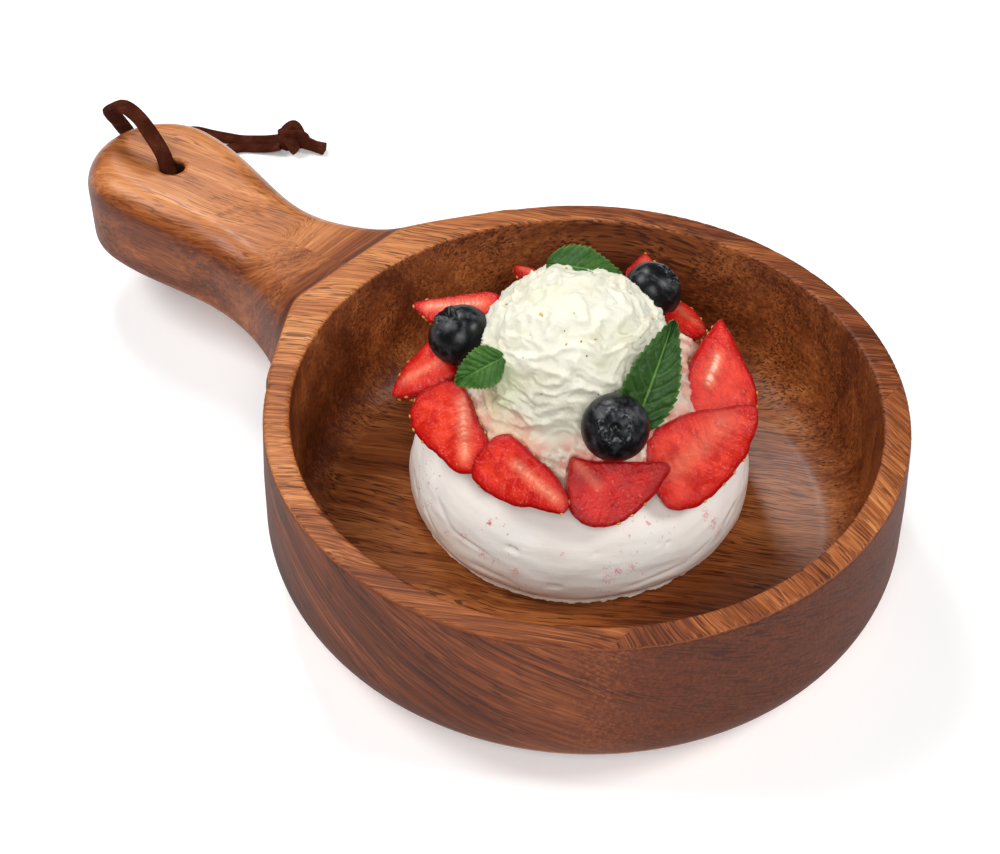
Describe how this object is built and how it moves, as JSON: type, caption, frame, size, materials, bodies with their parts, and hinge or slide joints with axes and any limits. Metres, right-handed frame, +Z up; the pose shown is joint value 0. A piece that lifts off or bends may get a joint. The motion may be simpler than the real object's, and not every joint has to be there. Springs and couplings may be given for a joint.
{
  "type": "pavlova",
  "caption": "Small pavlova with whipped cream, strawberry slices, blueberries and mint leaves, in a round wooden serving bowl with a handle and a leather hanging thong.",
  "frame": {"origin": "on the bowl's axis, on the underside it stands on", "axes": "+Z up; -X along the handle, away from the bowl; +Y to the side where the thong's knot lies"},
  "size_m": [0.3338, 0.183, 0.0833],
  "materials": {
    "wood": "oiled satin",
    "leather": "suede",
    "meringue": "satin",
    "cream": "satin",
    "strawberry": "moist",
    "blueberry": "bloom",
    "mint": "satin"
  },
  "bodies": {
    "root": {"bowl": "wood", "meringue": "meringue", "cream_bed": "cream", "cream_scoop": "cream", "strawberry_1": "strawberry", "strawberry_2": "strawberry", "strawberry_3": "strawberry", "strawberry_4": "strawberry", "strawberry_5": "strawberry", "strawberry_6": "strawberry", "strawberry_7": "strawberry", "strawberry_8": "strawberry", "strawberry_9": "strawberry", "strawberry_10": "strawberry", "blueberry_1": "blueberry", "blueberry_2": "blueberry", "blueberry_3": "blueberry", "mint_leaf_1": "mint", "mint_leaf_2": "mint", "mint_leaf_3": "mint", "thong_over": "leather", "thong_under": "leather", "thong_knot": "leather"}
  },
  "joints": []
}
